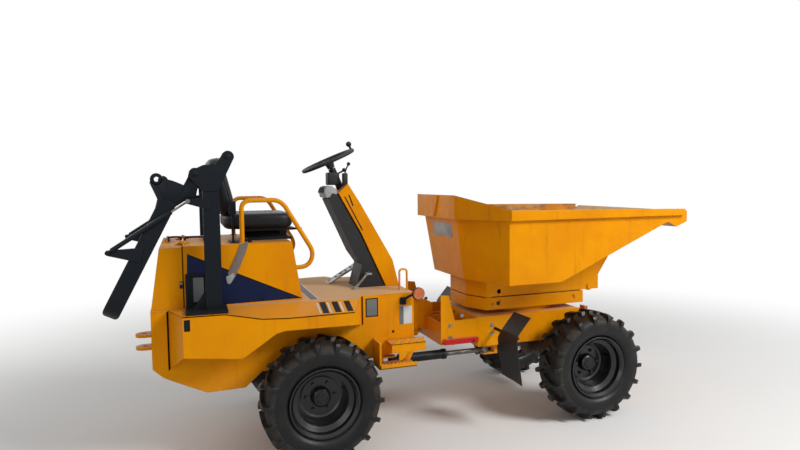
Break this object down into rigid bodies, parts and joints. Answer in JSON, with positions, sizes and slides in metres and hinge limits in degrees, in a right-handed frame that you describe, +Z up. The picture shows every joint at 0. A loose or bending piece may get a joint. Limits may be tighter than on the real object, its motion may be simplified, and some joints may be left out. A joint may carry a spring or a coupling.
{
  "type": "swivel skip site dumper",
  "caption": "Articulated site dumper with a swivel tipping skip ahead of the driver, a folding roll bar and four lugged tyres.",
  "frame": {"origin": "on the ground under the middle of the machine's whole box, as it parks with the roll bar folded", "axes": "+X forwards towards the skip's lip, +Y to the driver's left, +Z up"},
  "size_m": [3.8767, 1.358, 1.9545],
  "materials": {
    "body_paint": "worn amber yellow paint",
    "skip_paint": "scuffed amber yellow paint, rusty inside",
    "deck_paint": "worn, dusty amber yellow paint",
    "black_paint": "satin black paint",
    "axle_black": "dusty black cast iron",
    "engine_iron": "painted cast iron",
    "worn_steel": "worn, dusty steel",
    "chrome_rod": "ground hard chrome",
    "red_paint": "dusty red paint",
    "black_plastic": "grained black plastic",
    "amber_lens": "ribbed amber plastic",
    "seat_vinyl": "grained black vinyl",
    "belt_webbing": "woven webbing",
    "flap_rubber": "dusty sheet rubber",
    "tyre": "dusty black rubber"
  },
  "bodies": {
    "root": {"rear_chassis": "body_paint", "platform_deck": "deck_paint", "engine_block": "engine_iron", "engine_cover": "body_paint", "rear_axle": "axle_black", "roll_posts": "black_paint", "pivot_jaw": "body_paint", "console": "body_paint", "console_shroud": "black_plastic", "steering_column": "black_paint", "pedals": "worn_steel", "seat_base": "black_paint", "seat_cushion": "seat_vinyl", "seat_back": "seat_vinyl", "seat_belt": "belt_webbing", "grab_rails": "body_paint", "steps": "body_paint", "side_lamps": "amber_lens"},
    "hood": {"rear_hood": "body_paint"},
    "front_frame": {"front_chassis": "body_paint", "front_axle": "axle_black", "slew_base": "body_paint", "mudflaps": "flap_rubber", "lock_bar": "red_paint", "front_markers": "amber_lens"},
    "swivel": {"swivel_frame": "body_paint"},
    "skip": {"skip_tub": "skip_paint", "skip_underframe": "body_paint"},
    "tip_cylinder": {"tip_barrel": "black_paint"},
    "tip_piston": {"tip_rod": "chrome_rod"},
    "steer_cylinder": {"steer_barrel": "black_paint"},
    "steer_piston": {"steer_rod": "chrome_rod"},
    "hand_wheel": {"steering_wheel": "black_plastic"},
    "roll_bar": {"roll_hoop": "black_paint"},
    "strut_cylinders": {"strut_barrels": "black_paint"},
    "strut_pistons": {"strut_rods": "chrome_rod"},
    "wheel_rear_left": {"tyre_rear_left": "tyre", "rim_rear_left": "black_paint"},
    "wheel_rear_right": {"tyre_rear_right": "tyre", "rim_rear_right": "black_paint"},
    "wheel_front_left": {"tyre_front_left": "tyre", "rim_front_left": "black_paint"},
    "wheel_front_right": {"tyre_front_right": "tyre", "rim_front_right": "black_paint"}
  },
  "joints": [
    {"name": "articulation", "type": "hinge", "parent": "root", "child": "front_frame", "pos_m": [0.048, 0, 0.47], "axis": [0, 0, 1], "range_deg": [-33, 33]},
    {"name": "swivel", "type": "hinge", "parent": "front_frame", "child": "swivel", "pos_m": [0.898, 0, 0.75], "axis": [0, 0, 1], "range_deg": [-90, 90]},
    {"name": "tip", "type": "hinge", "parent": "swivel", "child": "skip", "pos_m": [1.353, 0, 0.875], "axis": [0, 1, 0], "range_deg": [0, 75]},
    {"name": "tip_cylinder_swing", "type": "hinge", "parent": "swivel", "child": "tip_cylinder", "pos_m": [0.58, 0, 0.826], "axis": [0, 1, 0], "range_deg": [-11.31, 0.5]},
    {"name": "tip_cylinder_stroke", "type": "slide", "parent": "tip_cylinder", "child": "tip_piston", "axis": [0.9804, 0, 0.1968], "range_m": [-0.002, 0.2944]},
    {"name": "steer_cylinder_swing", "type": "hinge", "parent": "root", "child": "steer_cylinder", "pos_m": [-0.207, -0.262, 0.47], "axis": [0, 0, 1], "range_deg": [-21.87, 21.87]},
    {"name": "steer_cylinder_stroke", "type": "slide", "parent": "steer_cylinder", "child": "steer_piston", "axis": [1, 0, 0], "range_m": [-0.15031, 0.15031]},
    {"name": "hand_wheel_turn", "type": "hinge", "parent": "root", "child": "hand_wheel", "pos_m": [-0.56, 0, 1.821], "axis": [-0.4019, 0, 0.9157], "continuous": true},
    {"name": "hood_open", "type": "hinge", "parent": "root", "child": "hood", "pos_m": [-1.515, 0, 1.323], "axis": [0, 1, 0], "range_deg": [0, 60]},
    {"name": "fold", "type": "hinge", "parent": "root", "child": "roll_bar", "pos_m": [-1.433, 0, 1.728], "axis": [0, 1, 0], "range_deg": [0, 160]},
    {"name": "strut_swing", "type": "hinge", "parent": "roll_bar", "child": "strut_cylinders", "pos_m": [-1.885, 0, 1.311], "axis": [0, 1, 0], "range_deg": [-12.6, 0.5]},
    {"name": "strut_stroke", "type": "slide", "parent": "strut_cylinders", "child": "strut_pistons", "axis": [0.8389, 0, 0.5443], "range_m": [-0.002, 0.28235]},
    {"name": "wheel_rear_left_spin", "type": "hinge", "parent": "root", "child": "wheel_rear_left", "pos_m": [-0.752, 0.546, 0.374], "axis": [0, 1, 0], "continuous": true},
    {"name": "wheel_rear_right_spin", "type": "hinge", "parent": "root", "child": "wheel_rear_right", "pos_m": [-0.752, -0.546, 0.374], "axis": [0, 1, 0], "continuous": true},
    {"name": "wheel_front_left_spin", "type": "hinge", "parent": "front_frame", "child": "wheel_front_left", "pos_m": [1.172, 0.546, 0.374], "axis": [0, 1, 0], "continuous": true},
    {"name": "wheel_front_right_spin", "type": "hinge", "parent": "front_frame", "child": "wheel_front_right", "pos_m": [1.172, -0.546, 0.374], "axis": [0, 1, 0], "continuous": true}
  ],
  "couplings": [
    {"joint": "tip_cylinder_swing", "follows": "tip", "ratio": -0.14407},
    {"joint": "tip_cylinder_stroke", "follows": "tip", "m_per_rad": 0.22338},
    {"joint": "steer_cylinder_swing", "follows": "articulation", "ratio": 0.64748},
    {"joint": "steer_cylinder_stroke", "follows": "articulation", "m_per_rad": 0.25751},
    {"joint": "strut_swing", "follows": "fold", "ratio": -0.075624},
    {"joint": "strut_stroke", "follows": "fold", "m_per_rad": 0.10039}
  ]
}
